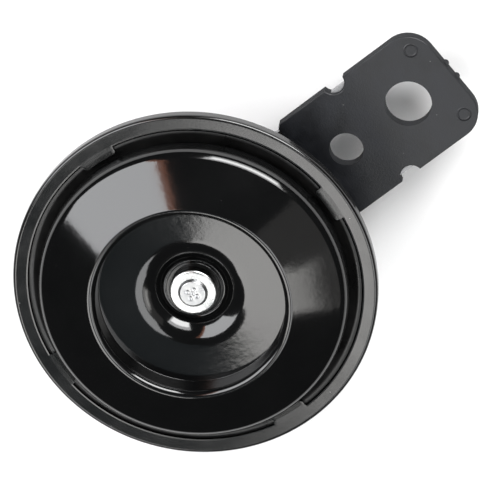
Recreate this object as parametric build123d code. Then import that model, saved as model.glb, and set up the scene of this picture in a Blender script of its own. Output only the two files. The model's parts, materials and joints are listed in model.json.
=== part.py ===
from build123d import *
from math import asin, cos, degrees, pi, radians, sin, sqrt, tan
import os

# Electric disc horn with a plastic-sleeved mounting strap. Lengths are in millimetres.
# It is built round the sound axis, with the front face of the rim at height 0 and the
# mouth upwards, and the strap along +X. At the end everything moves by one step, so
# that the middle of the strap's large bolt hole becomes the origin.

# ---------------------------------------------------------------- driving dimensions
# Crimp ring: one rolled strip that clamps the whole edge of the horn
rim_radius = 35.0
ring_sheet = 0.6
ring_face_width = 3.1
ring_bend_radius = 0.9
ring_curl_reach = 2.2
ring_edge_round = 0.2
tab_count = 4
tab_width = 7.3
tab_reach = 1.4
tab_slope_deg = 14.0
tab_corner_radius = 0.8
first_tab_deg = -4.5

# Layers clamped in the rim
gasket_thickness = 0.25
diaphragm_thickness = 0.3
rim_play = 0.05
layer_play = 0.15
gasket_width = 1.8

# Diaphragm: flat rim, sloping wall, flat middle
diaphragm_dish_depth = 2.25
diaphragm_margin = 0.7
diaphragm_wall_run = 3.6
diaphragm_bend_radius = 1.0

# Tone disc, visible side: skirt, flank, ridge, bowl and sunk seat
disc_sheet = 1.0
disc_groove = 2.1
disc_lip_height = 0.2
disc_skirt_taper = 0.3
disc_shoulder_height = 3.9
disc_shoulder_round = 1.5
disc_ridge_radius = 18.6
disc_ridge_height = 9.0
disc_ridge_round = 1.2
disc_wall_run = 0.9
disc_floor_height = 3.5
disc_floor_round = 2.2
disc_well_radius = 8.2
disc_well_height = 2.8
disc_well_round = 7.0
disc_seat_radius = 5.95
disc_seat_height = -0.1
disc_seat_round = 0.6

# Pieces stacked on the stud
stud_radius = 2.3
stud_play = 0.05
stud_head_step = 1.1
stud_head_height = 1.3
stud_end_spread = 0.6
stud_end_taper = 0.5
stud_end_height = 0.6
hub_washer_radius = 5.4
hub_washer_thickness = 0.5
hub_collar_radius = 4.6
hub_collar_height = 2.0
hub_collar_round = 0.55
disc_spacer_radius = 5.6
backing_washer_radius = 8.0
backing_washer_thickness = 0.8

# Armature and magnet
armature_plate_radius = 8.5
armature_plate_thickness = 1.4
armature_pole_height = 1.1
air_gap = 0.5
core_radius = 5.5
bobbin_play = 0.1
bobbin_wall = 1.0
bobbin_flange_lip = 0.6
bobbin_flange_thickness = 1.0
bobbin_head_room = 0.2
coil_gap = 0.65
winding_play = 0.1

# Drawn rear housing
housing_sheet = 0.8
housing_flange_width = 2.75
housing_throat_bend = 1.4
housing_wall_taper = 1.5
shelf_depth = 8.5
shelf_bend = 1.2
shelf_width = 8.6
cup_mouth_bend = 1.2
cup_depth = 16.5
cup_floor_bend = 2.0

# Mounting stud, nut and lock washer (M8)
mount_thread_radius = 4.0
mount_hole_play = 0.1
mount_stud_chamfer = 0.7
mount_stud_over_nut = 2.0
nut_across_flats = 13.0
nut_height = 6.5
nut_chamfer_deg = 30.0
lock_washer_radius = 7.4
lock_washer_thickness = 2.0
lock_washer_gap = 0.8
lock_washer_play = 0.15

# Strap and moulded sleeve
strap_thickness = 1.5
strap_width = 21.2
strap_terminal_gap = 1.0
sleeve_thickness = 2.7
sleeve_side_wall = 1.2
sleeve_start_margin = 7.85
sleeve_end_margin = 10.4
sleeve_corner_radius = 5.5
sleeve_near_chamfer = 0.8
sleeve_edge_round = 0.3
bolt_hole_radius = 4.5
bolt_hole_reach = 16.0
small_hole_radius = 3.3
hole_spacing = 15.25
hole_lining = 0.8
notch_setback = 8.8
notch_radius = 2.2
notch_depth = 2.0
ejector_mark_radius = 1.2
ejector_mark_depth = 0.12
ejector_mark_inset = 3.3
ejector_mark_offset = 8.1
gate_stub_radius = 0.7
gate_stub_reach = 0.5
gate_stub_height = 1.5
gate_stub_spacing = 3.3

# Contact set on the housing shelf
contact_wall_gap = 3.8
contact_strip_width = 4.6
contact_root_deg = -112.0
contact_root_span_deg = 15.0
contact_end_deg = -80.0
contact_tail_deg = 6.0
contact_strip_thickness = 0.4
fixed_strip_thickness = 0.6
insulator_thickness = 0.8
contact_rivet_radius = 0.8
contact_rivet_head_radius = 1.5
contact_rivet_head_height = 0.5
contact_rivet_spacing_deg = 8.0
contact_point_radius = 1.3
finger_width = 3.0
finger_overlap = 1.2

# Adjusting screw and its lock nut (M4)
screw_radius = 2.0
screw_deg = -96.0
screw_tail = 7.0
screw_slot_width = 0.8
screw_slot_depth = 1.2
screw_bush_wall = 0.5
screw_bush_stand = 0.5
adjuster_nut_across_flats = 7.0
adjuster_nut_height = 3.2

# Electric terminals on the back of the cup
terminal_wall_gap = 5.7
terminal_pitch = 9.0
terminal_plate_thickness = 1.5
terminal_plate_side_margin = 1.35
terminal_plate_end_margin = 0.7
terminal_plate_round = 1.2
terminal_wall_width = 1.0
terminal_wall_height = 2.2
inner_plate_thickness = 0.6
inner_plate_margin = 0.15
blade_width = 6.3
blade_thickness = 0.8
blade_height = 8.2
blade_foot_length = 6.4
blade_tip_taper = 0.9
blade_hole_radius = 0.9
terminal_rivet_radius = 1.2
terminal_rivet_head_radius = 2.2
terminal_rivet_head_height = 0.6

# Wires inside: the winding's two ends, and the lead from a terminal to the fixed arm
lead_radius = 0.35
lead_bend_radius = 2.0
coil_end_drop = 0.8
lead_wall_gap = 1.6
lead_overlap = 2.0
lead_turn_deg = -150.0

# ---------------------------------------------------------------- derived heights
# Radii from the rim inwards
ring_opening_radius = rim_radius - ring_face_width
flange_radius = rim_radius - ring_bend_radius - rim_play
layer_radius = flange_radius - layer_play
diaphragm_wall_top_radius = ring_opening_radius - diaphragm_margin
diaphragm_wall_foot_radius = diaphragm_wall_top_radius - diaphragm_wall_run
disc_lip_radius = ring_opening_radius - disc_groove
disc_shoulder_radius = disc_lip_radius - disc_skirt_taper
disc_floor_radius = disc_ridge_radius - disc_wall_run
housing_throat_radius = flange_radius - housing_flange_width
shelf_radius = housing_throat_radius - housing_wall_taper
cup_radius = shelf_radius - shelf_width
contact_ring_radius = shelf_radius - contact_wall_gap
screw_distance = contact_ring_radius
screw_bush_radius = screw_radius + screw_bush_wall
terminal_row_distance = cup_radius - terminal_wall_gap

# Along the strap
bolt_hole_distance = rim_radius + bolt_hole_reach
small_hole_distance = bolt_hole_distance - hole_spacing
notch_distance = bolt_hole_distance - notch_setback
sleeve_start = small_hole_distance - sleeve_start_margin
sleeve_end = bolt_hole_distance + sleeve_end_margin

# Stud
stud_head_radius = stud_radius + stud_head_step
stud_end_foot_radius = stud_radius + stud_end_spread
stud_end_radius = stud_end_foot_radius - stud_end_taper

# Terminal plates
terminal_plate_length = terminal_pitch + blade_width + 2 * terminal_plate_side_margin
terminal_plate_width = blade_foot_length + 2 * terminal_plate_end_margin
inner_plate_width = 2 * (terminal_rivet_head_radius + inner_plate_margin)
inner_plate_length = terminal_pitch + inner_plate_width
strap_back_reach = terminal_row_distance - terminal_plate_width / 2 - strap_terminal_gap

# From the rim's front face downwards through the clamped layers
ring_underside = -ring_sheet
front_gasket_floor = ring_underside - gasket_thickness
diaphragm_floor = front_gasket_floor - diaphragm_thickness
rear_gasket_floor = diaphragm_floor - gasket_thickness
flange_floor = rear_gasket_floor - housing_sheet
curl_floor = flange_floor - ring_sheet

# Down the stud
hub_washer_top = disc_seat_height + hub_washer_thickness
hub_collar_top = hub_washer_top + hub_collar_height
disc_underside = disc_seat_height - disc_sheet
dish_top = front_gasket_floor - diaphragm_dish_depth
dish_floor = dish_top - diaphragm_thickness
plate_top = dish_floor - backing_washer_thickness
plate_floor = plate_top - armature_plate_thickness
pole_floor = plate_floor - armature_pole_height

# In the housing
shelf_top = -shelf_depth
shelf_floor = shelf_top - housing_sheet
cup_floor = -cup_depth
back_face = cup_floor - housing_sheet
core_top = pole_floor - air_gap
bobbin_top = core_top - bobbin_head_room
bobbin_bore_radius = core_radius + bobbin_play
bobbin_tube_radius = bobbin_bore_radius + bobbin_wall
winding_bore_radius = bobbin_tube_radius + winding_play
winding_floor = cup_floor + bobbin_flange_thickness + winding_play
winding_top = bobbin_top - bobbin_flange_thickness - winding_play
bobbin_flange_radius = terminal_row_distance - inner_plate_width / 2 - coil_gap
winding_radius = bobbin_flange_radius - bobbin_flange_lip
stud_bore_radius = stud_radius + stud_play

# Behind the housing
strap_top = back_face
strap_floor = strap_top - strap_thickness
strap_middle = (strap_top + strap_floor) / 2
washer_floor = strap_floor - lock_washer_thickness
nut_floor = washer_floor - nut_height
stud_tail = nut_floor - mount_stud_over_nut
sleeve_top = strap_middle + sleeve_thickness / 2
sleeve_floor = strap_middle - sleeve_thickness / 2
sleeve_width = strap_width + 2 * sleeve_side_wall
strap_end = sleeve_end - sleeve_side_wall
mount_hole_radius = mount_thread_radius + mount_hole_play

# Contact stack, upwards from the shelf
fixed_strip_floor = shelf_top + insulator_thickness
fixed_strip_top = fixed_strip_floor + fixed_strip_thickness
moving_strip_floor = fixed_strip_top + insulator_thickness
moving_strip_top = moving_strip_floor + contact_strip_thickness
contact_stack_top = moving_strip_top + insulator_thickness
strip_inner_radius = contact_ring_radius - contact_strip_width / 2
strip_outer_radius = contact_ring_radius + contact_strip_width / 2

# Where wires lie on the terminal rivets
rivet_wire_height = cup_floor + inner_plate_thickness + terminal_rivet_head_height + lead_radius


# ---------------------------------------------------------------- helpers
def sheet_section(points, radii, thickness):
    """Closed section of a bent sheet. The points run along one face and the other face
    lies to the left of that run. Each inner corner has its bend radius on the first face."""
    here = [Vector(x, y) for x, y in points]
    runs = [(b - a).normalized() for a, b in zip(here, here[1:])]
    left = [Vector(-run.Y, run.X) for run in runs]
    other = [here[0] + left[0] * thickness]
    other_radii = []
    for corner, before, after, radius in zip(here[1:-1], left, left[1:], radii):
        middle = (before + after).normalized()
        other.append(corner + middle * (thickness / middle.dot(before)))
        turns_left = before.X * after.Y - before.Y * after.X > 0
        other_radii.append(radius - thickness if turns_left else radius + thickness)
    other.append(here[-1] + left[-1] * thickness)
    near_face = FilletPolyline(*here, radius=radii)
    far_face = FilletPolyline(*other, radius=other_radii)
    ends = Line(here[0], other[0]) + Line(here[-1], other[-1])
    return make_face(near_face.edges() + far_face.edges() + ends.edges())


def turned(section, start_deg=0.0, span_deg=360.0):
    """Sweep a section, drawn as radius and height, about the sound axis."""
    body = revolve(Plane.XZ * section, Axis.Z, revolution_arc=span_deg)
    return Rot(0, 0, start_deg) * body


def ring_section(inner_radius, outer_radius, floor, top):
    middle = ((inner_radius + outer_radius) / 2, (floor + top) / 2)
    return Pos(*middle) * Rectangle(outer_radius - inner_radius, top - floor)


def ring(inner_radius, outer_radius, floor, top):
    return turned(ring_section(inner_radius, outer_radius, floor, top))


def sector(inner_radius, outer_radius, floor, top, start_deg, end_deg):
    section = ring_section(inner_radius, outer_radius, floor, top)
    return turned(section, start_deg, end_deg - start_deg)


def rod(radius, floor, top):
    return Pos(0, 0, (floor + top) / 2) * Cylinder(radius, top - floor)


def around(angle_deg, distance):
    return Pos(distance * cos(radians(angle_deg)), distance * sin(radians(angle_deg)), 0)


def slab(sketch, floor, top):
    return Pos(0, 0, floor) * extrude(sketch, top - floor, dir=(0, 0, 1))


def hex_nut(across_flats, bore_radius, floor, top):
    """Hexagon nut with both ends chamfered by a cone."""
    hexagon = RegularPolygon(across_flats / 2, 6, major_radius=False)
    blank = slab(hexagon, floor, top) - rod(bore_radius, floor, top)
    corner_radius = across_flats / 2 / cos(pi / 6)
    drop = (corner_radius - across_flats / 2) * tan(radians(nut_chamfer_deg))
    flat_radius = across_flats / 2
    outline = Polyline(
        (0, floor),
        (flat_radius, floor),
        (corner_radius, floor + drop),
        (corner_radius, top - drop),
        (flat_radius, top),
        (0, top),
        close=True,
    )
    return blank & turned(make_face(outline))


# ---------------------------------------------------------------- rim
def distance_from_axis(shape):
    centre = shape.center()
    return sqrt(centre.X**2 + centre.Y**2)


def make_crimp_ring():
    """C-shaped strip rolled over the whole edge, with four short tabs into the mouth."""
    path = [
        (rim_radius - ring_curl_reach, curl_floor),
        (rim_radius, curl_floor),
        (rim_radius, 0),
        (ring_opening_radius, 0),
    ]
    section = sheet_section(path, [ring_bend_radius] * 2, ring_sheet)
    mouth_corners = section.vertices().sort_by(Axis.X)[:2]
    strip = turned(fillet(mouth_corners, ring_edge_round))
    for number in range(tab_count):
        strip += Rot(0, 0, first_tab_deg + number * 360 / tab_count) * make_tab()
    return strip


def make_tab():
    """Short ear with rounded corners that slopes down from the ring's mouth edge."""
    root_radius = ring_opening_radius + ring_sheet
    tip_radius = ring_opening_radius - tab_reach
    tip_height = -tab_reach * tan(radians(tab_slope_deg))
    path = [(root_radius, 0), (ring_opening_radius, 0), (tip_radius, tip_height)]
    half_angle = degrees(asin(tab_width / 2 / ring_opening_radius))
    section = sheet_section(path, [ring_bend_radius], ring_sheet)
    tab = turned(section, -half_angle, 2 * half_angle)
    tip_edges = tab.edges().filter_by(GeomType.LINE).sort_by(distance_from_axis)[:2]
    return fillet(tip_edges, tab_corner_radius)


def make_gasket(floor):
    return ring(layer_radius - gasket_width, layer_radius, floor, floor + gasket_thickness)


def make_diaphragm():
    """Spring-steel sheet dished towards the magnet."""
    path = [
        (layer_radius, front_gasket_floor),
        (diaphragm_wall_top_radius, front_gasket_floor),
        (diaphragm_wall_foot_radius, dish_top),
        (stud_bore_radius, dish_top),
    ]
    return turned(sheet_section(path, [diaphragm_bend_radius] * 2, diaphragm_thickness))


# ---------------------------------------------------------------- tone disc and hub
def make_tone_disc():
    """Spun disc: skirt, conical flank, sharp ridge, flat bowl and a sunk seat."""
    path = [
        (disc_lip_radius, disc_lip_height),
        (disc_shoulder_radius, disc_shoulder_height),
        (disc_ridge_radius, disc_ridge_height),
        (disc_floor_radius, disc_floor_height),
        (disc_well_radius, disc_well_height),
        (disc_seat_radius, disc_seat_height),
        (stud_bore_radius, disc_seat_height),
    ]
    radii = [
        disc_shoulder_round,
        disc_ridge_round,
        disc_floor_round,
        disc_well_round,
        disc_seat_round,
    ]
    return turned(sheet_section(path, radii, disc_sheet))


def make_hub_washer():
    return ring(stud_bore_radius, hub_washer_radius, disc_seat_height, hub_washer_top)


def make_hub_collar():
    collar = ring(stud_bore_radius, hub_collar_radius, hub_washer_top, hub_collar_top)
    top_edges = collar.edges().group_by(Axis.Z)[-1]
    return fillet(top_edges.sort_by(SortBy.RADIUS)[-1], hub_collar_round)


def make_disc_spacer():
    return ring(stud_bore_radius, disc_spacer_radius, dish_top, disc_underside)


def make_backing_washer():
    return ring(stud_bore_radius, backing_washer_radius, plate_top, dish_floor)


def make_armature():
    """Soft-iron plate with a short pole that faces the magnet core."""
    plate = ring(stud_bore_radius, armature_plate_radius, plate_floor, plate_top)
    pole = ring(stud_bore_radius, core_radius, pole_floor, plate_floor)
    head_room = rod(stud_head_radius + stud_play, pole_floor, pole_floor + stud_head_height)
    return plate + pole - head_room


def make_armature_stud():
    """Headed stud whose front end is spread into a flat cone over the collar."""
    outline = Polyline(
        (0, pole_floor),
        (stud_head_radius, pole_floor),
        (stud_head_radius, pole_floor + stud_head_height),
        (stud_radius, pole_floor + stud_head_height),
        (stud_radius, hub_collar_top),
        (stud_end_foot_radius, hub_collar_top),
        (stud_end_radius, hub_collar_top + stud_end_height),
        (0, hub_collar_top + stud_end_height),
        close=True,
    )
    return turned(make_face(outline))


# ---------------------------------------------------------------- housing and magnet
def make_rear_housing():
    """Drawn steel cup with a shelf for the contacts and a flat clamping flange."""
    path = [
        (flange_radius, rear_gasket_floor),
        (housing_throat_radius, rear_gasket_floor),
        (shelf_radius, shelf_top),
        (cup_radius, shelf_top),
        (cup_radius, cup_floor),
        (mount_hole_radius, cup_floor),
    ]
    radii = [housing_throat_bend, shelf_bend, cup_mouth_bend, cup_floor_bend]
    shell = turned(sheet_section(path, radii, housing_sheet))
    for place in terminal_places():
        shell -= place * rod(terminal_rivet_radius + mount_hole_play, back_face, cup_floor)
    screw_place = around(screw_deg, screw_distance)
    shell -= screw_place * rod(screw_bush_radius, shelf_floor, shelf_top)
    for place in contact_rivet_places():
        shell -= place * rod(contact_rivet_radius, shelf_floor, shelf_top)
    return shell


def make_magnet_core():
    """Core, shoulder and threaded mounting stud turned from one bar."""
    core = rod(core_radius, cup_floor, core_top)
    tail = rod(mount_thread_radius, stud_tail, cup_floor)
    tail = chamfer(tail.edges().group_by(Axis.Z)[0], mount_stud_chamfer)
    return core + tail


def make_coil_bobbin():
    flange = bobbin_flange_thickness
    tube = ring(bobbin_bore_radius, bobbin_tube_radius, cup_floor, bobbin_top)
    rear = ring(bobbin_bore_radius, bobbin_flange_radius, cup_floor, cup_floor + flange)
    front = ring(bobbin_bore_radius, bobbin_flange_radius, bobbin_top - flange, bobbin_top)
    return tube + rear + front


def wire(points, bend_radius=lead_bend_radius):
    """Round wire along straight runs joined by bends."""
    route = Polyline(*points) if len(points) == 2 else FilletPolyline(*points, radius=bend_radius)
    return sweep(Plane(origin=route @ 0, z_dir=route % 0) * Circle(lead_radius), path=route)


def at_angle(angle_deg, distance, height):
    return (distance * cos(radians(angle_deg)), distance * sin(radians(angle_deg)), height)


def make_coil_winding():
    """Wound wire as one block, with one end on a terminal and one on the moving arm."""
    block = ring(winding_bore_radius, winding_radius, winding_floor, winding_top)
    inside = winding_radius - lead_radius
    side = terminal_pitch / 2
    start_lead = wire(
        [
            (-sqrt(inside**2 - side**2), side, rivet_wire_height),
            (-terminal_row_distance - lead_radius, side, rivet_wire_height),
        ]
    )
    end_height = moving_strip_top + lead_radius
    end_lead = wire(
        [
            at_angle(tail_angle(), inside, winding_top - coil_end_drop),
            at_angle(tail_angle(), cup_radius, end_height),
            at_angle(tail_angle(), strip_inner_radius + lead_overlap, end_height),
        ]
    )
    return block + start_lead + end_lead


# ---------------------------------------------------------------- contact set
def contact_rivet_places():
    half = contact_rivet_spacing_deg / 2
    angles = [contact_root_deg - half, contact_root_deg + half]
    return [around(angle, contact_ring_radius) for angle in angles]


def strip_sector(floor, top, start_deg, end_deg):
    strip = sector(strip_inner_radius, strip_outer_radius, floor, top, start_deg, end_deg)
    for place in contact_rivet_places():
        strip -= place * rod(contact_rivet_radius, floor, top)
    return strip


def root_angles():
    half = contact_root_span_deg / 2
    return contact_root_deg - half, contact_root_deg + half


def arm_start():
    return root_angles()[0] - contact_tail_deg


def tail_angle():
    """Middle of the soldering tail that each arm has beyond the stack."""
    return root_angles()[0] - contact_tail_deg / 2


def make_contact_insulator(floor):
    start_deg, end_deg = root_angles()
    return strip_sector(floor, floor + insulator_thickness, start_deg, end_deg)


def make_fixed_contact_arm():
    return strip_sector(fixed_strip_floor, fixed_strip_top, arm_start(), contact_end_deg)


def finger_angle():
    return contact_end_deg - degrees(finger_width / 2 / contact_ring_radius)


def make_moving_contact_arm():
    """Spring strip with a finger that reaches under the armature plate."""
    strip = strip_sector(moving_strip_floor, moving_strip_top, arm_start(), contact_end_deg)
    reach_in = armature_plate_radius - finger_overlap
    length = contact_ring_radius - reach_in
    finger = Pos(reach_in + length / 2, 0, 0) * Rectangle(length, finger_width)
    finger = Rot(0, 0, finger_angle()) * slab(finger, moving_strip_floor, moving_strip_top)
    return strip + finger


def make_contact_points():
    """Two buttons, one on each arm, that meet face to face."""
    place = around(finger_angle(), contact_ring_radius)
    middle = (fixed_strip_top + moving_strip_floor) / 2
    lower = place * rod(contact_point_radius, fixed_strip_top, middle)
    upper = place * rod(contact_point_radius, middle, moving_strip_floor)
    return [lower, upper]


def make_contact_rivets():
    """Rivets that clamp the contact stack to the shelf."""
    rivets = []
    head = contact_rivet_head_height
    for place in contact_rivet_places():
        shank = rod(contact_rivet_radius, shelf_floor, contact_stack_top)
        front = rod(contact_rivet_head_radius, contact_stack_top, contact_stack_top + head)
        rear = rod(contact_rivet_head_radius, shelf_floor - head, shelf_floor)
        rivets.append(place * (shank + front + rear))
    return rivets


def make_adjusting_screw():
    """Slotted grub screw that bears on the fixed arm from behind the shelf."""
    tail = shelf_floor - screw_tail
    screw = rod(screw_radius, tail, fixed_strip_floor)
    slot = Pos(0, 0, tail + screw_slot_depth / 2)
    slot *= Box(2 * screw_radius, screw_slot_width, screw_slot_depth)
    return around(screw_deg, screw_distance) * (screw - slot)


def make_adjusting_bush():
    """Threaded bush pressed into the shelf, which carries the adjusting screw."""
    bush = ring(screw_radius, screw_bush_radius, shelf_floor, shelf_top + screw_bush_stand)
    return around(screw_deg, screw_distance) * bush


def make_adjusting_nut():
    floor = shelf_floor - adjuster_nut_height
    nut = hex_nut(adjuster_nut_across_flats, screw_radius, floor, shelf_floor)
    return around(screw_deg, screw_distance) * nut


# ---------------------------------------------------------------- terminals
def terminal_places():
    half = terminal_pitch / 2
    return [Pos(-terminal_row_distance, side * half, 0) for side in (-1, 1)]


def make_terminal_plate():
    """Insulating plate behind the cup, with a wall between the two blades."""
    outline = RectangleRounded(
        terminal_plate_width, terminal_plate_length, terminal_plate_round
    )
    floor = back_face - terminal_plate_thickness
    plate = slab(outline, floor, back_face)
    wall = Rectangle(terminal_plate_width, terminal_wall_width)
    plate += slab(wall, floor - terminal_wall_height, floor)
    plate = Pos(-terminal_row_distance, 0, 0) * plate
    for place in terminal_places():
        plate -= place * rod(terminal_rivet_radius, floor, back_face)
    return plate


def make_terminal_insulator():
    outline = Rectangle(inner_plate_width, inner_plate_length)
    top = cup_floor + inner_plate_thickness
    plate = Pos(-terminal_row_distance, 0, 0) * slab(outline, cup_floor, top)
    for place in terminal_places():
        plate -= place * rod(terminal_rivet_radius, cup_floor, top)
    return plate


def make_terminal_blade(place):
    """Flat foot with an upright blade, folded from one strip."""
    foot_top = back_face - terminal_plate_thickness
    foot_floor = foot_top - blade_thickness
    half_foot = blade_foot_length / 2
    foot = Pos(0, 0, foot_top - blade_thickness / 2)
    foot *= Box(blade_foot_length, blade_width, blade_thickness)
    half = blade_width / 2
    outline = Polyline(
        (-half, 0),
        (half, 0),
        (half, blade_height - blade_tip_taper),
        (half - blade_tip_taper, blade_height),
        (blade_tip_taper - half, blade_height),
        (-half, blade_height - blade_tip_taper),
        close=True,
    )
    face = make_face(outline) - Pos(0, blade_height / 2) * Circle(blade_hole_radius)
    upright = Plane((-half_foot, 0, foot_floor), x_dir=(0, -1, 0), z_dir=(1, 0, 0))
    blade = extrude(upright * face, blade_thickness)
    hole = rod(terminal_rivet_radius, foot_floor, foot_top)
    return place * (foot + blade - hole)


def make_terminal_rivets():
    """Rivets that carry the current from the blades to the inside."""
    rear = back_face - terminal_plate_thickness - blade_thickness
    front = cup_floor + inner_plate_thickness
    head = terminal_rivet_head_height
    rivets = []
    for place in terminal_places():
        shank = rod(terminal_rivet_radius, rear, front)
        outer_head = rod(terminal_rivet_head_radius, rear - head, rear)
        inner_head = rod(terminal_rivet_head_radius, front, front + head)
        rivets.append(place * (shank + outer_head + inner_head))
    return rivets


def make_terminal_lead():
    """Wire from the other terminal, round the cup and up under the fixed arm's tail."""
    side = -terminal_pitch / 2
    wall_radius = cup_radius - lead_wall_gap
    arm_height = fixed_strip_floor - lead_radius
    return wire(
        [
            (-terminal_row_distance, side + lead_radius, rivet_wire_height),
            at_angle(lead_turn_deg, wall_radius, rivet_wire_height),
            at_angle(tail_angle(), wall_radius, arm_height),
            at_angle(tail_angle(), strip_inner_radius + lead_overlap, arm_height),
        ]
    )


# ---------------------------------------------------------------- strap
def strap_outline():
    """Flat strap with one round end under the nut and rounded far corners."""
    length = strap_end
    far_radius = sleeve_corner_radius - sleeve_side_wall
    body = Pos(length / 2, 0) * Rectangle(length, strap_width)
    corners = body.vertices().sort_by(Axis.X)[-2:]
    return fillet(corners, far_radius) + Ellipse(strap_back_reach, strap_width / 2)


def make_bracket_strap():
    strap = slab(strap_outline(), strap_floor, strap_top)
    strap -= rod(mount_hole_radius, strap_floor, strap_top)
    for distance, radius in bracket_holes():
        hole = rod(radius + hole_lining, strap_floor, strap_top)
        strap -= Pos(distance, 0, 0) * hole
    return strap


def bracket_holes():
    return [(bolt_hole_distance, bolt_hole_radius), (small_hole_distance, small_hole_radius)]


def make_bracket_sleeve():
    """Sleeve moulded round the outer half of the strap and through its two holes."""
    length = sleeve_end - sleeve_start
    body = Pos(sleeve_start + length / 2, 0) * Rectangle(length, sleeve_width)
    far_corners = body.vertices().sort_by(Axis.X)[-2:]
    body = fillet(far_corners, sleeve_corner_radius)
    near_corners = body.vertices().sort_by(Axis.X)[:2]
    body = chamfer(near_corners, sleeve_near_chamfer)
    for side in (-1, 1):
        edge = side * (sleeve_width / 2 + notch_radius - notch_depth)
        body -= Pos(notch_distance, edge) * Circle(notch_radius)
    sleeve = slab(body, sleeve_floor, sleeve_top)
    top_edges = sleeve.edges().group_by(Axis.Z)[-1]
    floor_edges = sleeve.edges().group_by(Axis.Z)[0]
    sleeve = fillet(top_edges + floor_edges, sleeve_edge_round)
    sleeve += make_gate_stubs()
    sleeve -= make_bracket_strap()
    for distance, radius in bracket_holes():
        sleeve -= Pos(distance, 0, 0) * rod(radius, sleeve_floor, sleeve_top)
    for side in (-1, 1):
        mark = rod(ejector_mark_radius, sleeve_top - ejector_mark_depth, sleeve_top)
        mark_place = Pos(sleeve_end - ejector_mark_inset, side * ejector_mark_offset, 0)
        sleeve -= mark_place * mark
    return sleeve


def make_gate_stubs():
    """Two broken-off feed stubs left on the far end."""
    stubs = []
    for side in (-1, 1):
        reach = sleeve_end + gate_stub_reach - gate_stub_radius
        floor = strap_middle - gate_stub_height / 2
        stub = rod(gate_stub_radius, floor, floor + gate_stub_height)
        stubs.append(Pos(reach, side * gate_stub_spacing / 2, 0) * stub)
    return stubs


def make_lock_washer():
    """Split ring under the nut."""
    bore = mount_thread_radius + lock_washer_play
    washer = ring(bore, lock_washer_radius, washer_floor, strap_floor)
    cut_length = lock_washer_radius
    cut = Pos(-cut_length / 2 - bore / 2, 0, (washer_floor + strap_floor) / 2)
    cut *= Box(cut_length, lock_washer_gap, lock_washer_thickness)
    return washer - cut


def make_bracket_nut():
    return hex_nut(nut_across_flats, mount_thread_radius, nut_floor, washer_floor)


# ---------------------------------------------------------------- assembly
def make_pieces():
    right_place, left_place = terminal_places()
    return {
        "crimp_ring": make_crimp_ring(),
        "front_gasket": make_gasket(front_gasket_floor),
        "diaphragm": make_diaphragm(),
        "rear_gasket": make_gasket(rear_gasket_floor),
        "rear_housing": make_rear_housing(),
        "tone_disc": make_tone_disc(),
        "hub_washer": make_hub_washer(),
        "hub_collar": make_hub_collar(),
        "disc_spacer": make_disc_spacer(),
        "backing_washer": make_backing_washer(),
        "armature": make_armature(),
        "armature_stud": make_armature_stud(),
        "magnet_core": make_magnet_core(),
        "coil_bobbin": make_coil_bobbin(),
        "coil_winding": make_coil_winding(),
        "lower_contact_insulator": make_contact_insulator(shelf_top),
        "middle_contact_insulator": make_contact_insulator(fixed_strip_top),
        "upper_contact_insulator": make_contact_insulator(moving_strip_top),
        "fixed_contact_arm": make_fixed_contact_arm(),
        "moving_contact_arm": make_moving_contact_arm(),
        "contact_points": make_contact_points(),
        "contact_rivets": make_contact_rivets(),
        "adjusting_screw": make_adjusting_screw(),
        "adjusting_bush": make_adjusting_bush(),
        "adjusting_lock_nut": make_adjusting_nut(),
        "terminal_plate": make_terminal_plate(),
        "terminal_insulator": make_terminal_insulator(),
        "terminal_blade_left": make_terminal_blade(left_place),
        "terminal_blade_right": make_terminal_blade(right_place),
        "terminal_rivets": make_terminal_rivets(),
        "terminal_lead": make_terminal_lead(),
        "bracket_strap": make_bracket_strap(),
        "bracket_sleeve": make_bracket_sleeve(),
        "bracket_lock_washer": make_lock_washer(),
        "bracket_nut": make_bracket_nut(),
    }


def write_pieces():
    os.makedirs("parts", exist_ok=True)
    to_row_frame = Pos(-bolt_hole_distance, 0, -strap_middle)
    for name, piece in make_pieces().items():
        solids = piece if isinstance(piece, list) else piece.solids()
        moved = [to_row_frame * solid for solid in solids]
        shape = moved[0] if len(moved) == 1 else Compound(children=moved)
        export_step(shape, f"parts/{name}.step")
        print(name, len(moved))


write_pieces()
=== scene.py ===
import json
import math

import bmesh
import bpy
import numpy as np
from mathutils import Matrix, Vector

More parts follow.
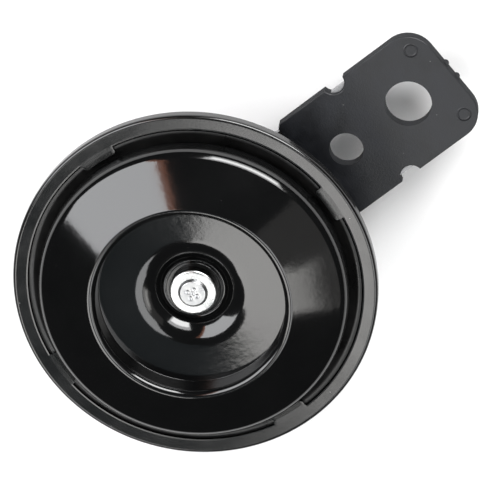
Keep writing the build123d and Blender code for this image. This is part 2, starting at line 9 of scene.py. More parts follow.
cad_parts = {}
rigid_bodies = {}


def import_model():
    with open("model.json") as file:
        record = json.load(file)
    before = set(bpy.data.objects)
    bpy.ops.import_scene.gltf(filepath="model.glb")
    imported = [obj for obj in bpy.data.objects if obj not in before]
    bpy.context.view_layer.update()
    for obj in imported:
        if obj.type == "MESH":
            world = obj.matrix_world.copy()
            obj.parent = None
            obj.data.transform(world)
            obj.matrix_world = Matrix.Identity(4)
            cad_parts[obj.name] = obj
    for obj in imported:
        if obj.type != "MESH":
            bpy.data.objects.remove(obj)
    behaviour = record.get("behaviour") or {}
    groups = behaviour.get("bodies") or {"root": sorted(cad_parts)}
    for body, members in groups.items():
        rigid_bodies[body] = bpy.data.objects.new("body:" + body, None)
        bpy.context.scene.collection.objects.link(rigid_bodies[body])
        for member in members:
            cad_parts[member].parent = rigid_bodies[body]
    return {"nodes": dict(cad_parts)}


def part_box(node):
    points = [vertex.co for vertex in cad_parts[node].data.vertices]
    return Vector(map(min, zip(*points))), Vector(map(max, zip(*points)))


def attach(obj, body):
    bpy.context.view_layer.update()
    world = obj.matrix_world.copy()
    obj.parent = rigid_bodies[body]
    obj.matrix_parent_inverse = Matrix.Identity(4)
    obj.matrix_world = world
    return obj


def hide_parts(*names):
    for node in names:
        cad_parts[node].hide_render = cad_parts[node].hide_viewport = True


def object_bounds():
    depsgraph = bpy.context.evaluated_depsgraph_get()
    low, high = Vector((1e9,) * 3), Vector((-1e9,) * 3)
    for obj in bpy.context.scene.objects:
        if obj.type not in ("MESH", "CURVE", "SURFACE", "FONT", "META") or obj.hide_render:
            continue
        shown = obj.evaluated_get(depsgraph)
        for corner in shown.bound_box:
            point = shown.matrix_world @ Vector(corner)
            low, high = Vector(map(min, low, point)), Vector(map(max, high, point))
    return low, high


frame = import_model()
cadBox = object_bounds()

mm = 0.001  # the frame is in metres, pieces are measured in millimetres
nodes = frame["nodes"]
ringLow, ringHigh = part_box("crimp_ring")
hornAxis = np.array([(ringLow.x + ringHigh.x) / 2, 0.0, ringHigh.z])  # middle of the rim's front face


# shapes: each new surface is a grid of points worked out with numpy
mergeReach = 1e-7  # metres between two corners that are one
sheetEnd = {"steps": 9, "squareness": 0.45}  # a sheet's end is a squared half circle


def unit(vector):
    return vector / np.linalg.norm(vector)


def easedRun(start, end, steps):
    # points from start to end, closer together near both ends
    share = (1 - np.cos(np.linspace(0, math.pi, steps + 1))) / 2
    return start + (end - start) * share[:, None]


def roundedLine(corners, radii, arcSteps=18, runSteps=10):
    # straight runs joined by arcs that touch both; also gives the side that lies to the left
    corners = np.array(corners, float)
    line, left = [], []
    last = corners[0]
    for i in range(1, len(corners)):
        along = unit(corners[i] - corners[i - 1])
        side = np.array([-along[1], along[0]])
        if i == len(corners) - 1 or radii[i - 1] == 0:
            run = easedRun(last, corners[i], runSteps)
            line.append(run)
            left.append(np.tile(side, (len(run), 1)))
            last = corners[i]
            continue
        ahead = unit(corners[i + 1] - corners[i])
        half = math.acos(np.clip(np.dot(-along, ahead), -1, 1)) / 2
        start = corners[i] - along * radii[i - 1] / math.tan(half)
        centre = corners[i] + unit(ahead - along) * radii[i - 1] / math.sin(half)
        turn = math.pi - 2 * half
        if along[0] * ahead[1] - along[1] * ahead[0] < 0:
            turn = -turn
        out = start - centre
        angle = math.atan2(out[1], out[0]) + np.linspace(0, turn, arcSteps + 1)
        radial = np.stack([np.cos(angle), np.sin(angle)], 1)
        run = easedRun(last, start, runSteps)[:-1]
        line += [run, centre + radii[i - 1] * radial]
        left += [np.tile(side, (len(run), 1)), -math.copysign(1, turn) * radial]
        last = line[-1][-1]
    return np.concatenate(line), np.concatenate(left)


def sheetOutline(corners, radii, sheet, endRound, arcSteps=18, runSteps=10):
    # closed outline of a bent sheet: one face, its end, the other face back, and the first end
    line, left = roundedLine(corners, radii, arcSteps, runSteps)
    angle = np.linspace(-math.pi / 2, math.pi / 2, sheetEnd["steps"])[1:-1]
    across = np.sign(np.sin(angle)) * np.abs(np.sin(angle)) ** sheetEnd["squareness"]
    bulge = np.abs(np.cos(angle)) ** sheetEnd["squareness"]
    ends = []
    for at, sense in ((-1, 1), (0, -1)):
        along = sense * np.array([left[at][1], -left[at][0]])
        middle = line[at] + left[at] * sheet / 2
        cap = middle + np.outer(sense * across, left[at]) * sheet / 2 + np.outer(bulge - 1, along) * endRound
        ends.append(cap)
    line[0] += np.array([left[0][1], -left[0][0]]) * endRound
    line[-1] -= np.array([left[-1][1], -left[-1][0]]) * endRound
    return np.concatenate([line, ends[0], (line + left * sheet)[::-1], ends[1]])


def clockwise(outline):
    # radius and height, in the order that turns the faces outwards
    r, z = outline[:, 0], outline[:, 1]
    area = np.sum(r * np.roll(z, -1) - np.roll(r, -1) * z)
    return outline[::-1] if area > 0 else outline


def gridFaces(rows, columns, closedRows):
    # four corners of each cell; the columns always close on themselves
    i = np.arange(rows if closedRows else rows - 1)[:, None]
    j = np.arange(columns)[None, :]
    nextI, nextJ = (i + 1) % rows, (j + 1) % columns
    corners = np.stack(np.broadcast_arrays(i * columns + j, nextI * columns + j,
                                           nextI * columns + nextJ, i * columns + nextJ), -1)
    return corners.reshape(-1, 4)


def meshPiece(name, points, faces, material, nodeName, sharpDeg=32):
    # one closed mesh in the row's frame, shaded smooth up to sharpDeg
    mesh = bpy.data.meshes.new(name)
    mesh.from_pydata(points.reshape(-1, 3), [], faces)
    clean = bmesh.new()
    clean.from_mesh(mesh)
    bmesh.ops.remove_doubles(clean, verts=clean.verts, dist=mergeReach)
    clean.to_mesh(mesh)
    clean.free()
    finishPiece(name, mesh, material, nodeName, sharpDeg)


def finishPiece(name, mesh, material, nodeName, sharpDeg):
    # smooth shading, material and slot, in place of the node
    mesh.shade_smooth()
    mesh.set_sharp_from_angle(angle=math.radians(sharpDeg))
    mesh.materials.clear()
    mesh.materials.append(material)
    piece = bpy.data.objects.new(name, mesh)
    bpy.context.scene.collection.objects.link(piece)
    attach(piece, "root")
    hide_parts(nodeName)
    return piece


def turnedPoints(outline, angles):
    # point(u, v) = (r(u) cos v, r(u) sin v, z(u)) about the sound axis, in millimetres
    r, z = outline[:, 0][:, None], outline[:, 1][:, None]
    return np.stack([r * np.cos(angles), r * np.sin(angles), z + 0 * angles], -1)


def roundTurn(steps):
    # even angles once round
    return np.linspace(0, 2 * math.pi, steps, endpoint=False)


def onHorn(points):
    # from millimetres about the middle of the rim's face to the row's own metres
    return points * mm + hornAxis


def turnedPiece(name, outline, material, nodeName, steps=256):
    # the closed outline carried once round the sound axis
    outline = clockwise(outline)
    points = onHorn(turnedPoints(outline, roundTurn(steps)))
    meshPiece(name, points, gridFaces(len(outline), steps, True), material, nodeName)


nodeCopy = {"merge": 2e-7, "flatDeg": 0.3, "sharpDeg": 20, "weight": 100}


def dressedCopy(nodeName, material):
    # the node's own shape with its corners merged, so that it can be shaded smooth
    mesh = nodes[nodeName].data.copy()
    mesh.name = nodeName + "_dressed"
    merged = bmesh.new()
    merged.from_mesh(mesh)
    bmesh.ops.remove_doubles(merged, verts=merged.verts, dist=nodeCopy["merge"])
    bmesh.ops.dissolve_limit(merged, angle_limit=math.radians(nodeCopy["flatDeg"]), verts=merged.verts,
                             edges=merged.edges)
    merged.to_mesh(mesh)
    merged.free()
    piece = finishPiece(nodeName + "_dressed", mesh, material, nodeName, nodeCopy["sharpDeg"])
    weights = piece.modifiers.new("evenShading", "WEIGHTED_NORMAL")
    weights.keep_sharp = True
    weights.weight = nodeCopy["weight"]


# materials
def addNode(tree, kind, inputs=None, **settings):
    # a shader node; an input is a value or another node's socket
    made = tree.nodes.new("ShaderNode" + kind)
    for key, value in settings.items():
        setattr(made, key, value)
    for key, value in (inputs or {}).items():
        if isinstance(value, bpy.types.NodeSocket):
            tree.links.new(value, made.inputs[key])
        else:
            made.inputs[key].default_value = value
    return made


def newGroup(name, inputs, outputs):
    # an empty node group, its named inputs and its named outputs
    group = bpy.data.node_groups.new(name, "ShaderNodeTree")
    for label, value in inputs.items():
        socket = group.interface.new_socket(label, in_out="INPUT", socket_type="NodeSocketFloat")
        socket.default_value = value
    for label, kind in outputs.items():
        group.interface.new_socket(label, in_out="OUTPUT", socket_type="NodeSocket" + kind)
    start = group.nodes.new("NodeGroupInput")
    end = group.nodes.new("NodeGroupOutput")
    return group, start.outputs, end.inputs


def skinGroup():
    # fine waviness of a coat or a moulded skin, with a coarse mottle for its tone
    group, given, out = newGroup("skinTexture",
                                 {"Fine Scale": 900.0, "Coarse Scale": 120.0, "Fine Share": 0.7},
                                 {"Height": "Float", "Mottle": "Float"})
    place = addNode(group, "TexCoord").outputs["Object"]
    fine = addNode(group, "TexNoise", {"Vector": place, "Scale": given["Fine Scale"], "Detail": 3.0,
                                       "Roughness": 0.5})
    coarse = addNode(group, "TexNoise", {"Vector": place, "Scale": given["Coarse Scale"], "Detail": 4.0,
                                         "Roughness": 0.6})
    height = addNode(group, "Mix", {0: given["Fine Share"], 2: coarse.outputs["Fac"], 3: fine.outputs["Fac"]})
    group.links.new(height.outputs[0], out["Height"])
    group.links.new(coarse.outputs["Fac"], out["Mottle"])
    return group


def speckGroup():
    # small scattered specks of dust or grain, 1 inside a speck
    group, given, out = newGroup("dustSpecks", {"Scale": 700.0, "Size": 0.12, "Share": 0.2},
                                 {"Mask": "Float"})
    place = addNode(group, "TexCoord").outputs["Object"]
    cells = addNode(group, "TexVoronoi", {"Vector": place, "Scale": given["Scale"]})
    near = addNode(group, "Math", {0: cells.outputs["Distance"], 1: given["Size"]}, operation="LESS_THAN")
    pick = addNode(group, "SeparateColor", {"Color": cells.outputs["Color"]})
    some = addNode(group, "Math", {0: pick.outputs["Red"], 1: given["Share"]}, operation="LESS_THAN")
    both = addNode(group, "Math", {0: near.outputs[0], 1: some.outputs[0]}, operation="MULTIPLY")
    group.links.new(both.outputs[0], out["Mask"])
    return group


pinMark = {"along": 7.1, "across": 8.1, "radius": 1.2, "width": 0.25}  # millimetres from the big strap hole


def pinMarkGroup():
    # outlines of two round mould marks, mirrored across the strap, 1 on the outline
    sizes = {key.capitalize(): value * mm for key, value in pinMark.items()}
    group, given, out = newGroup("pinMarks", sizes, {"Mask": "Float"})
    place = addNode(group, "SeparateXYZ", {0: addNode(group, "TexCoord").outputs["Object"]})
    along = addNode(group, "Math", {0: place.outputs["X"], 1: given["Along"]}, operation="SUBTRACT")
    across = addNode(group, "Math", {0: place.outputs["Y"]}, operation="ABSOLUTE")
    across = addNode(group, "Math", {0: across.outputs[0], 1: given["Across"]}, operation="SUBTRACT")
    offset = addNode(group, "CombineXYZ", {0: along.outputs[0], 1: across.outputs[0]})
    away = addNode(group, "VectorMath", {0: offset.outputs[0]}, operation="LENGTH").outputs["Value"]
    away = addNode(group, "Math", {0: away, 1: given["Radius"]}, operation="SUBTRACT")
    away = addNode(group, "Math", {0: away.outputs[0]}, operation="ABSOLUTE")
    near = addNode(group, "MapRange", {"Value": away.outputs[0], "From Min": given["Width"], "From Max": 0.0})
    group.links.new(near.outputs["Result"], out["Mask"])
    return group


skinTexture = skinGroup()
dustSpecks = speckGroup()
pinMarks = pinMarkGroup()


def groupNode(tree, group, **values):
    # one use of a group with its own values
    made = tree.nodes.new("ShaderNodeGroup")
    made.node_tree = group
    for label, value in values.items():
        made.inputs[label.replace("_", " ")].default_value = value
    return made


def newMaterial(name, **constants):
    # a material with its constants set on the shader itself
    material = bpy.data.materials.new(name)
    material.use_nodes = True
    tree = material.node_tree
    shader = tree.nodes["Principled BSDF"]
    for label, value in constants.items():
        shader.inputs[label.replace("_", " ")].default_value = value
    return material, tree, shader


mottleReach = (0.3, 0.7)  # where nearly all of the mottle's values lie


def spread(tree, mask, low, high):
    # the mottle carried to values from low to high
    return addNode(tree, "MapRange", {"Value": mask, "From Min": mottleReach[0], "From Max": mottleReach[1],
                                      "To Min": low, "To Max": high}).outputs["Result"]


def tone(tree, mask, dark, light):
    # dark where the mask is 0, light where it is 1; each is a colour or a socket
    low, high = (value if isinstance(value, bpy.types.NodeSocket) else (*value, 1) for value in (dark, light))
    return addNode(tree, "Mix", {0: mask, 6: low, 7: high}, data_type="RGBA").outputs[2]


def flatMask(tree, low, high):
    # 1 where a face looks along the sound axis, 0 on upright walls
    facing = addNode(tree, "SeparateXYZ", {0: addNode(tree, "TexCoord").outputs["Normal"]})
    return addNode(tree, "MapRange", {"Value": facing.outputs["Z"], "From Min": low,
                                      "From Max": high}).outputs["Result"]


flatBand = {"tone": (0.35, 0.75), "roughness": (0.25, 0.5)}  # where upright walls take their painted shade or their own roughness, by flatMask


def coatedMaterial(name, look):
    # paint, plastic or plate: tone and roughness follow the mottle, bump follows the skin;
    # some have specks, pin marks, painted shade on upright walls, or another roughness there
    material, tree, shader = newMaterial(name, IOR=look["ior"], Metallic=look.get("metallic", 0.0))
    skin = groupNode(tree, skinTexture, Fine_Scale=look["fineScale"], Coarse_Scale=look["coarseScale"])
    base = tone(tree, spread(tree, skin.outputs["Mottle"], 0.0, 1.0), look["dark"], look["light"])
    if "speckShare" in look:
        specks = groupNode(tree, dustSpecks, Size=look["speckSize"], Share=look["speckShare"])
        base = tone(tree, specks.outputs["Mask"], base, look["speckTone"])
    # painted shade: upright walls take a darker tone than the flat faces
    if "paintedWallShade" in look:
        base = tone(tree, flatMask(tree, *flatBand["tone"]), look["paintedWallShade"], base)
    tree.links.new(base, shader.inputs["Base Color"])
    roughness = spread(tree, skin.outputs["Mottle"], *look["roughness"])
    if "sideRoughness" in look:
        flat = flatMask(tree, *flatBand["roughness"])
        roughness = addNode(tree, "Mix", {0: flat, 2: look["sideRoughness"], 3: roughness}).outputs[0]
    tree.links.new(roughness, shader.inputs["Roughness"])
    height = skin.outputs["Height"]
    if "markHeight" in look:
        marks = groupNode(tree, pinMarks).outputs["Mask"]
        height = addNode(tree, "Math", {0: marks, 1: look["markHeight"], 2: height},
                         operation="MULTIPLY_ADD").outputs[0]
    bump = addNode(tree, "Bump", {"Height": height, "Strength": look["bump"],
                                  "Distance": look["bumpMm"] * mm})
    tree.links.new(bump.outputs["Normal"], shader.inputs["Normal"])
    return material


looks = {
    "blackEnamel": {"dark": (0.0016, 0.0017, 0.0018), "light": (0.0030, 0.0031, 0.0032), "ior": 1.62,
                    "roughness": (0.075, 0.11), "fineScale": 800.0, "coarseScale": 60.0, "bump": 0.5,
                    "bumpMm": 0.025, "speckShare": 0.05, "speckSize": 0.07, "speckTone": (0.02, 0.02, 0.02),
                    "sideRoughness": 0.22},
    "ringPaint": {"dark": (0.002, 0.002, 0.002), "light": (0.004, 0.004, 0.004), "ior": 1.62,
                  "roughness": (0.12, 0.18), "fineScale": 2600.0, "coarseScale": 200.0, "bump": 0.3,
                  "bumpMm": 0.02, "speckShare": 0.08, "speckSize": 0.08, "speckTone": (0.12, 0.12, 0.12)},
    "housingPaint": {"dark": (0.006, 0.006, 0.006), "light": (0.012, 0.012, 0.012), "ior": 1.55,
                     "roughness": (0.22, 0.34), "fineScale": 1400.0, "coarseScale": 130.0, "bump": 0.5,
                     "bumpMm": 0.02},
    "sleevePlastic": {"dark": (0.0035, 0.004, 0.005), "light": (0.008, 0.009, 0.012), "ior": 1.5,
                      "roughness": (0.34, 0.5), "fineScale": 3200.0, "coarseScale": 210.0, "bump": 0.9,
                      "bumpMm": 0.05, "markHeight": 2.2, "sideRoughness": 0.95, "speckShare": 0.1,
                      "speckSize": 0.09, "speckTone": (0.08, 0.08, 0.08)},
    # the hub collar's darker upright wall is painted shade
    "hubZinc": {"dark": (0.50, 0.51, 0.51), "light": (0.68, 0.68, 0.67), "ior": 1.5, "metallic": 1.0,
                "roughness": (0.22, 0.34), "fineScale": 1800.0, "coarseScale": 420.0, "bump": 0.35,
                "bumpMm": 0.02, "paintedWallShade": (0.03, 0.03, 0.03)},
    "washerBlack": {"dark": (0.002, 0.002, 0.002), "light": (0.004, 0.004, 0.004), "ior": 1.5,
                    "roughness": (0.09, 0.16), "fineScale": 2600.0, "coarseScale": 300.0, "bump": 0.4,
                    "bumpMm": 0.02},
    "brightZinc": {"dark": (0.40, 0.41, 0.42), "light": (0.54, 0.54, 0.54), "ior": 1.5, "metallic": 1.0,
                   "roughness": (0.24, 0.38), "fineScale": 1800.0, "coarseScale": 420.0, "bump": 0.35,
                   "bumpMm": 0.02},
    "strapZinc": {"dark": (0.30, 0.30, 0.31), "light": (0.42, 0.42, 0.42), "ior": 1.5, "metallic": 1.0,
                  "roughness": (0.34, 0.5), "fineScale": 2200.0, "coarseScale": 160.0, "bump": 0.4,
                  "bumpMm": 0.02},
    "plainSteel": {"dark": (0.36, 0.36, 0.37), "light": (0.50, 0.50, 0.50), "ior": 1.5, "metallic": 1.0,
                   "roughness": (0.3, 0.45), "fineScale": 2000.0, "coarseScale": 200.0, "bump": 0.35,
                   "bumpMm": 0.02},
    "springSteel": {"dark": (0.004, 0.004, 0.004), "light": (0.010, 0.010, 0.010), "ior": 1.55,
                    "roughness": (0.25, 0.4), "fineScale": 1800.0, "coarseScale": 200.0, "bump": 0.35,
                    "bumpMm": 0.02},
    "bakelite": {"dark": (0.030, 0.012, 0.006), "light": (0.055, 0.022, 0.010), "ior": 1.55,
                 "roughness": (0.3, 0.45), "fineScale": 900.0, "coarseScale": 260.0, "bump": 0.3,
                 "bumpMm": 0.02},
    "fibreBoard": {"dark": (0.16, 0.05, 0.025), "light": (0.25, 0.085, 0.04), "ior": 1.45,
                   "roughness": (0.6, 0.8), "fineScale": 2600.0, "coarseScale": 500.0, "bump": 0.5,
                   "bumpMm": 0.03},
    "gasketPaper": {"dark": (0.30, 0.24, 0.16), "light": (0.42, 0.35, 0.25), "ior": 1.4,
                    "roughness": (0.75, 0.9), "fineScale": 2600.0, "coarseScale": 500.0, "bump": 0.5,
                    "bumpMm": 0.03},
    "bobbinPlastic": {"dark": (0.55, 0.53, 0.48), "light": (0.66, 0.64, 0.58), "ior": 1.5,
                      "roughness": (0.35, 0.5), "fineScale": 1400.0, "coarseScale": 200.0, "bump": 0.3,
                      "bumpMm": 0.02},
    "contactBrass": {"dark": (0.62, 0.42, 0.16), "light": (0.76, 0.55, 0.24), "ior": 1.5, "metallic": 1.0,
                     "roughness": (0.26, 0.4), "fineScale": 1800.0, "coarseScale": 200.0, "bump": 0.3,
                     "bumpMm": 0.02},
    "contactTungsten": {"dark": (0.40, 0.40, 0.42), "light": (0.5, 0.5, 0.52), "ior": 1.5, "metallic": 1.0,
                        "roughness": (0.35, 0.5), "fineScale": 2600.0, "coarseScale": 500.0, "bump": 0.3,
                        "bumpMm": 0.02},
    "copperWire": {"dark": (0.42, 0.13, 0.05), "light": (0.62, 0.22, 0.09), "ior": 1.5, "metallic": 1.0,
                   "roughness": (0.3, 0.42), "fineScale": 2600.0, "coarseScale": 400.0, "bump": 0.3,
                   "bumpMm": 0.02},
}
finish = {name: coatedMaterial(name, look) for name, look in looks.items()}
print("materials", len(finish))


# tone disc: one spun sheet with skirt, flank, ridge, bowl and sunk seat; rounds are its bends in that order
toneDisc = {"sheet": 1.0, "lip": (29.8, 0.2), "shoulder": (29.5, 3.9), "flank": (23.5, 6.72),
            "ridge": (18.05, 9.0), "floor": (17.95, 3.5), "well": (8.2, 2.8), "seat": (5.95, -0.1),
            "bore": (2.35, -0.1), "rounds": (2.6, 170.0, 1.15, 0.12, 7.0, 0.6), "endRound": 0.2,
            "turnSteps": 200, "arcSteps": 24, "runSteps": 12}


def toneDiscPiece(disc):
    # radius and height of each corner, from the lip inwards
    corners = [disc[key] for key in ("lip", "shoulder", "flank", "ridge", "floor", "well", "seat", "bore")]
    outline = sheetOutline(corners, disc["rounds"], disc["sheet"], disc["endRound"], disc["arcSteps"],
                           disc["runSteps"])
    turnedPiece("tone_disc_skin", outline, finish["blackEnamel"], "tone_disc",
                disc["turnSteps"])


toneDiscPiece(toneDisc)

# crimp ring: strip rolled over the edge, its mouth drawn inwards at four tabs
crimpRing = {"rim": 35.0, "sheet": 0.6, "mouth": 31.9, "bend": 0.62, "curlReach": 2.2, "curlFloor": -2.8,
             "faceDrop": 0.24, "tabs": 4, "tabWidth": 7.3, "tabReach": 1.4, "tabSlopeDeg": 5.0,
             "tabCorner": 0.8, "firstTabDeg": -4.5, "edge": 0.05, "rootBand": 0.5, "endRound": 0.25,
             "turnSteps": 240, "arcSteps": 14, "runSteps": 8, "tabFine": (-0.3, 1.2, 46),
             "tabCoarseSteps": 8}


def crimpRingPiece(ring):
    # turned outline whose mouth band is drawn in by reach(v) at each tab, down along the tab's slope
    corners = [(ring["rim"] - ring["curlReach"], ring["curlFloor"]), (ring["rim"], ring["curlFloor"]),
               (ring["rim"], 0.0), (ring["mouth"] + ring["rootBand"], -ring["faceDrop"]),
               (ring["mouth"], -ring["faceDrop"])]
    bends = (ring["bend"], ring["bend"], 0)
    outline = clockwise(sheetOutline(corners, bends, ring["sheet"], ring["endRound"], ring["arcSteps"],
                                     ring["runSteps"]))
    halfTab = ring["tabWidth"] / 2
    coarse = np.linspace(ring["tabFine"][1], halfTab, ring["tabCoarseSteps"])[1:]
    near = np.concatenate([np.linspace(*ring["tabFine"]), coarse])
    offsets = np.concatenate([near - halfTab, (halfTab - near)[::-1]])
    middles = math.radians(ring["firstTabDeg"]) + roundTurn(ring["tabs"])
    tabAngles = (middles[:, None] + offsets / ring["mouth"]).ravel()
    angles = np.concatenate([roundTurn(ring["turnSteps"]), tabAngles % (2 * math.pi)])
    angles = np.unique(np.round(angles, 6))
    away = np.abs((angles[:, None] - middles + math.pi) % (2 * math.pi) - math.pi).min(1) * ring["mouth"]
    corner = ring["tabCorner"]
    inside = np.clip(halfTab - away, 0, corner)
    tip = ring["tabReach"] - corner + np.sqrt(corner ** 2 - (corner - inside) ** 2)
    reach = tip * np.clip((halfTab - away) / ring["edge"], 0, 1)
    points = turnedPoints(outline, angles)
    share = np.clip((ring["mouth"] + ring["rootBand"] - outline[:, 0]) / ring["rootBand"], 0, 1)
    share = share * (outline[:, 1] > ring["curlFloor"] / 2)
    drawn = share[:, None] * reach
    points[..., 0] -= drawn * np.cos(angles)
    points[..., 1] -= drawn * np.sin(angles)
    points[..., 2] -= drawn * math.tan(math.radians(ring["tabSlopeDeg"]))
    faces = gridFaces(len(outline), len(angles), True)
    meshPiece("crimp_ring_skin", onHorn(points), faces, finish["ringPaint"], "crimp_ring")


crimpRingPiece(crimpRing)

# diaphragm, washer, collar and the stud's spread end
diaphragm = {"sheet": 0.3, "line": [(33.9, -0.85), (31.2, -0.85), (27.6, -3.1), (2.35, -3.1)],
             "rounds": (1.0, 1.0), "endRound": 0.05}
diaphragmOutline = sheetOutline(diaphragm["line"], diaphragm["rounds"], diaphragm["sheet"],
                                diaphragm["endRound"])
turnedPiece("diaphragm_skin", diaphragmOutline, finish["springSteel"], "diaphragm")

hubBore = {"radius": 2.35, "footRound": 0.05, "topRound": 0.12, "arcSteps": 10, "runSteps": 4}
hubWasher = {"radius": 5.4, "floor": -0.1, "top": 0.4, "footRound": 0.1, "topRound": 0.18}
hubCollar = {"radius": 4.6, "floor": hubWasher["top"], "top": 2.4, "footRound": 0.12, "topRound": 0.55}


def ringOutline(ring):
    # closed outline of a turned ring with rounded edges, from the middle of its bore and back to it
    bore, radius, floor, top = hubBore["radius"], ring["radius"], ring["floor"], ring["top"]
    middle = (bore, (floor + top) / 2)
    corners = [middle, (bore, floor), (radius, floor), (radius, top), (bore, top), middle]
    rounds = (hubBore["footRound"], ring["footRound"], ring["topRound"], hubBore["topRound"])
    return roundedLine(corners, rounds, hubBore["arcSteps"], hubBore["runSteps"])[0][:-1]


turnedPiece("hub_washer_skin", ringOutline(hubWasher), finish["washerBlack"], "hub_washer")
turnedPiece("hub_collar_skin", ringOutline(hubCollar), finish["hubZinc"], "hub_collar")

stud = {"head": 3.4, "headFloor": -6.8, "headTop": -5.5, "headRound": 0.2, "shank": 2.3, "endFoot": 2.9,
        "endFootRound": 0.05, "endTop": 3.0, "endRadius": 2.4, "endRound": 0.25, "turnSteps": 128,
        "arcSteps": 8, "runSteps": 26, "sharpDeg": 40}
studDents = {"ring": 0.95, "count": 4, "turn": 0.5, "middle": (0.15, 0.1), "width": 0.42, "depth": 0.16,
             "fall": 1.5, "above": 0.3}


def studPiece(stud, dents, collarTop):
    # turned outline; the end face sinks by depth * exp(-fall * (away / width)^2) round each punch mark
    corners = [(0, stud["endTop"]), (stud["endRadius"], stud["endTop"]), (stud["endFoot"], collarTop),
               (stud["shank"], collarTop), (stud["shank"], stud["headTop"]), (stud["head"], stud["headTop"]),
               (stud["head"], stud["headFloor"]), (0, stud["headFloor"])]
    rounds = (stud["endRound"], stud["endFootRound"], 0, 0, stud["headRound"], stud["headRound"])
    outline = roundedLine(corners, rounds, stud["arcSteps"], stud["runSteps"])[0]
    points = turnedPoints(outline, roundTurn(stud["turnSteps"]))
    marks = dents["ring"] * np.exp(1j * (roundTurn(dents["count"]) + dents["turn"]))
    marks = np.append(marks, complex(*dents["middle"]))
    place = points[..., 0] + 1j * points[..., 1]
    away = np.abs(place[..., None] - marks)
    sink = dents["depth"] * np.exp(-((away / dents["width"]) ** 2) * dents["fall"]).sum(-1)
    points[..., 2] -= sink * (points[..., 2] > collarTop + dents["above"])
    faces = gridFaces(len(outline), stud["turnSteps"], False)
    meshPiece("stud_skin", onHorn(points), faces, finish["brightZinc"], "armature_stud",
              stud["sharpDeg"])


studPiece(stud, studDents, hubCollar["top"])

# nodes that keep their own shape: outer ones as smooth copies, inner ones as they are
dressed = {
    "rear_housing": ("housingPaint", "housing_paint"),
    "bracket_sleeve": ("sleevePlastic", "sleeve_plastic"),
    "bracket_strap": ("strapZinc", "strap_zinc"), "bracket_nut": ("strapZinc", "plain_zinc"),
    "bracket_lock_washer": ("strapZinc", "plain_zinc"), "magnet_core": ("strapZinc", "plain_zinc"),
    "adjusting_screw": ("strapZinc", "plain_zinc"), "adjusting_lock_nut": ("strapZinc", "plain_zinc"),
    "terminal_plate": ("bakelite", "bakelite"), "terminal_blade_left": ("contactBrass", "terminal_brass"),
    "terminal_blade_right": ("contactBrass", "terminal_brass"),
    "terminal_rivets": ("contactBrass", "terminal_brass"), "contact_rivets": ("plainSteel", "plain_steel"),
}
for nodeName, (look, slotName) in dressed.items():
    dressedCopy(nodeName, finish[look])

inner = {
    "front_gasket": "gasketPaper", "rear_gasket": "gasketPaper", "disc_spacer": "plainSteel",
    "backing_washer": "plainSteel", "armature": "plainSteel", "coil_bobbin": "bobbinPlastic",
    "coil_winding": "copperWire", "lower_contact_insulator": "fibreBoard",
    "middle_contact_insulator": "fibreBoard", "upper_contact_insulator": "fibreBoard",
    "fixed_contact_arm": "contactBrass", "moving_contact_arm": "contactBrass",
    "contact_points": "contactTungsten", "terminal_insulator": "fibreBoard", "adjusting_bush": "plainSteel",
    "terminal_lead": "copperWire",
}
for nodeName, look in inner.items():
    nodes[nodeName].data.materials.clear()
    nodes[nodeName].data.materials.append(finish[look])
skins = [piece for piece in bpy.data.objects if piece.name.endswith("_skin")]
print("pieces", len(skins) + len(dressed) + len(inner))

# camera: long lens above the horn, turned so that the strap points to the upper right
view = {"lens": 264.73, "distance": 700.0, "tiltDeg": 23.65, "tiltTowardsDeg": 36.8, "strapDeg": 39.81,
        "right": 10.577, "up": 7.198, "sensor": 36.0, "clipStart": 0.01}
tilt, towards, strap = (math.radians(view[key]) for key in ("tiltDeg", "tiltTowardsDeg", "strapDeg"))
backward = Vector((math.sin(tilt) * math.cos(towards), math.sin(tilt) * math.sin(towards), math.cos(tilt)))
rightward = Vector((math.sin(strap), math.cos(strap), 0)).cross(backward).normalized()
upward = backward.cross(rightward)
eye = Vector(hornAxis) + (rightward * view["right"] + upward * view["up"] + backward * view["distance"]) * mm
cameraData = bpy.data.cameras.new("camera")
cameraData.lens = view["lens"]
cameraData.sensor_width = view["sensor"]
cameraData.clip_start = view["clipStart"]
camera = bpy.data.objects.new("camera", cameraData)
camera.matrix_world = Matrix.Translation(eye) @ Matrix((rightward, upward, backward)).transposed().to_4x4()
bpy.context.scene.collection.objects.link(camera)
bpy.context.scene.camera = camera

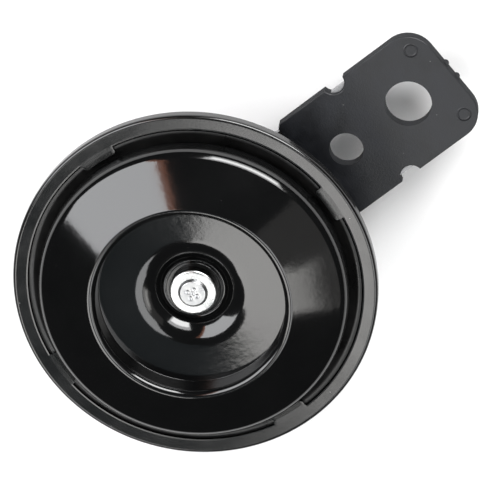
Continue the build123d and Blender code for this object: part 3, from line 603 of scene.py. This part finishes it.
# soft studio panels round the middle of the rim's face, sizes and distances in metres;
# a direction goes to the right of the view, up the view, and out of the horn's mouth
lamps = {
    "window": {"towards": (-0.600, 0.300, 0.742), "along": (-0.69, -0.66, -0.30), "distance": 0.62,
               "size": (0.435, 0.42), "glow": 6.0, "tint": (0.97, 0.98, 1.0)},
    "windowEdge": {"towards": (-0.316, 0.513, 0.798), "along": (-0.69, -0.66, -0.30), "distance": 0.66,
                   "size": (0.042, 0.42), "glow": 1.8, "tint": (1.0, 0.42, 0.26)},
    "topPanel": {"towards": (0.33, 0.745, 0.58), "along": (0.915, -0.404, 0.0), "distance": 0.7,
                 "size": (0.47, 0.44), "glow": 6.0, "tint": (1.0, 1.0, 1.0)},
    "topCore": {"towards": (0.33, 0.745, 0.58), "along": (0.915, -0.404, 0.0), "distance": 0.71,
                "size": (0.42, 0.20), "glow": 9.0, "tint": (1.0, 1.0, 1.0)},
    "lowPanel": {"towards": (-0.34, -0.50, 0.80), "along": (1.0, -0.12, 0.35), "distance": 0.7,
                 "size": (0.33, 0.29), "glow": 4.8, "tint": (1.0, 0.99, 0.97)},
    "rightPanel": {"towards": (0.60, -0.10, 0.79), "along": (-0.24, 0.90, 0.32), "distance": 0.8,
                   "size": (0.62, 0.26), "glow": 0.3, "tint": (1.0, 0.97, 0.94)},
    "rightPatch": {"towards": (0.645, -0.265, 0.718), "along": (0.0, 0.94, 0.35), "distance": 0.80,
                   "size": (0.30, 0.064), "glow": 0.5, "tint": (1.0, 0.99, 0.96)},
    "rightPatchNarrow": {"towards": (0.625, -0.272, 0.734), "along": (0.0, 0.94, 0.35), "distance": 0.81,
                         "size": (0.27, 0.075), "glow": 0.9, "tint": (1.0, 0.99, 0.96)},
    "rightPatchCore": {"towards": (0.605, -0.278, 0.750), "along": (0.0, 0.94, 0.35), "distance": 0.82,
                       "size": (0.24, 0.085), "glow": 1.3, "tint": (1.0, 0.99, 0.96)},
    "roofStrip": {"towards": (0.265, -0.32, 0.91), "along": (-0.03, 0.94, 0.33), "distance": 0.83,
                  "size": (0.60, 0.29), "glow": 3.7, "tint": (0.98, 0.99, 1.0)},
    "roofSide": {"towards": (0.53, -0.27, 0.80), "along": (0.0, 0.94, 0.33), "distance": 0.83,
                 "size": (0.32, 0.15), "glow": 2.2, "tint": (1.0, 0.99, 0.97)},
    "skyPatch": {"towards": (-0.02, -0.33, 0.94), "along": (1.0, 0.0, 0.0), "distance": 0.84,
                 "size": (0.22, 0.42), "glow": 0.14, "tint": (0.75, 0.92, 1.0)},
}


def addLamp(name, lamp):
    # glow is how bright the panel itself is, whatever its size
    data = bpy.data.lights.new(name, "AREA")
    data.shape = "RECTANGLE"
    data.size, data.size_y = lamp["size"]
    data.energy = lamp["glow"] * math.pi * data.size * data.size_y
    data.color = lamp["tint"]
    turn = Matrix.Rotation(-strap, 3, "Z")
    out = (turn @ Vector(lamp["towards"])).normalized()
    across = out.cross(turn @ Vector(lamp["along"])).normalized()
    axes = Matrix((across.cross(out), across, out)).transposed().to_4x4()
    lampObject = bpy.data.objects.new(name, data)
    lampObject.matrix_world = Matrix.Translation(Vector(hornAxis) + out * lamp["distance"]) @ axes
    lampObject.visible_camera = False
    bpy.context.scene.collection.objects.link(lampObject)


for lampName, lamp in lamps.items():
    addLamp(lampName, lamp)
print("camera and lamps", len(lamps))

# floor and world
# lift brightens the floor for the camera; near the part it is held back as painted shade
backdrop = {"halfSize": 3.0, "white": 0.8, "mottle": 0.01, "roughness": 0.9, "fineScale": 700.0,
            "coarseScale": 30.0, "lift": 0.2, "paintedShadeReach": 0.026, "paintedShadePower": 1.6, "paintedShadeSamples": 8,
            "worldGlow": 0.045, "worldTint": (0.96, 0.98, 1, 1)}


def floorPiece():
    # white floor at the part's lowest point; the camera sees it a little brighter, less so near and under the
    # part, where the floor gets painted shade, and it is clear from below
    material, tree, shader = newMaterial("floorWhite", Roughness=backdrop["roughness"])
    skin = groupNode(tree, skinTexture, Fine_Scale=backdrop["fineScale"],
                     Coarse_Scale=backdrop["coarseScale"])
    pale, paler = (backdrop["white"] - backdrop["mottle"],) * 3, (backdrop["white"],) * 3
    tree.links.new(tone(tree, skin.outputs["Mottle"], pale, paler), shader.inputs["Base Color"])
    seen = addNode(tree, "LightPath").outputs["Is Camera Ray"]
    # painted shade on the floor: the camera's brightening fades where the part is close or overhead
    floorShadeOcclusion = addNode(tree, "AmbientOcclusion", {"Distance": backdrop["paintedShadeReach"]},
                    samples=backdrop["paintedShadeSamples"])
    clear = addNode(tree, "Math", {0: floorShadeOcclusion.outputs["AO"], 1: backdrop["paintedShadePower"]},
                    operation="POWER").outputs[0]
    shown = addNode(tree, "Math", {0: seen, 1: clear}, operation="MULTIPLY").outputs[0]
    tree.links.new(tone(tree, shown, (0, 0, 0), (1, 1, 1)), shader.inputs["Emission Color"])
    behind = addNode(tree, "NewGeometry").outputs["Backfacing"]
    front = addNode(tree, "Math", {0: 1.0, 1: behind}, operation="SUBTRACT").outputs[0]
    tree.links.new(front, shader.inputs["Alpha"])
    shader.inputs["Emission Strength"].default_value = backdrop["lift"]
    half = backdrop["halfSize"]
    low = cadBox[0][2]
    mesh = bpy.data.meshes.new("floor")
    mesh.from_pydata([(-half, -half, low), (half, -half, low), (half, half, low), (-half, half, low)], [],
                     [(0, 1, 2, 3)])
    mesh.materials.append(material)
    floor = bpy.data.objects.new("floor", mesh)
    bpy.context.scene.collection.objects.link(floor)


def plainWorld():
    # white to the camera, a dim even light on everything else
    world = bpy.data.worlds.new("plainWorld")
    world.use_nodes = True
    tree = world.node_tree
    tree.nodes.clear()
    seen = addNode(tree, "LightPath").outputs["Is Camera Ray"]
    dim = addNode(tree, "Background", {"Color": backdrop["worldTint"], "Strength": backdrop["worldGlow"]})
    white = addNode(tree, "Background", {"Color": (1, 1, 1, 1), "Strength": 1.0})
    mix = addNode(tree, "MixShader", {0: seen, 1: dim.outputs[0], 2: white.outputs[0]})
    addNode(tree, "OutputWorld", {"Surface": mix.outputs[0]})
    bpy.context.scene.world = world


floorPiece()
plainWorld()
bpy.context.scene.view_settings.view_transform = "Standard"
print("floor and world")
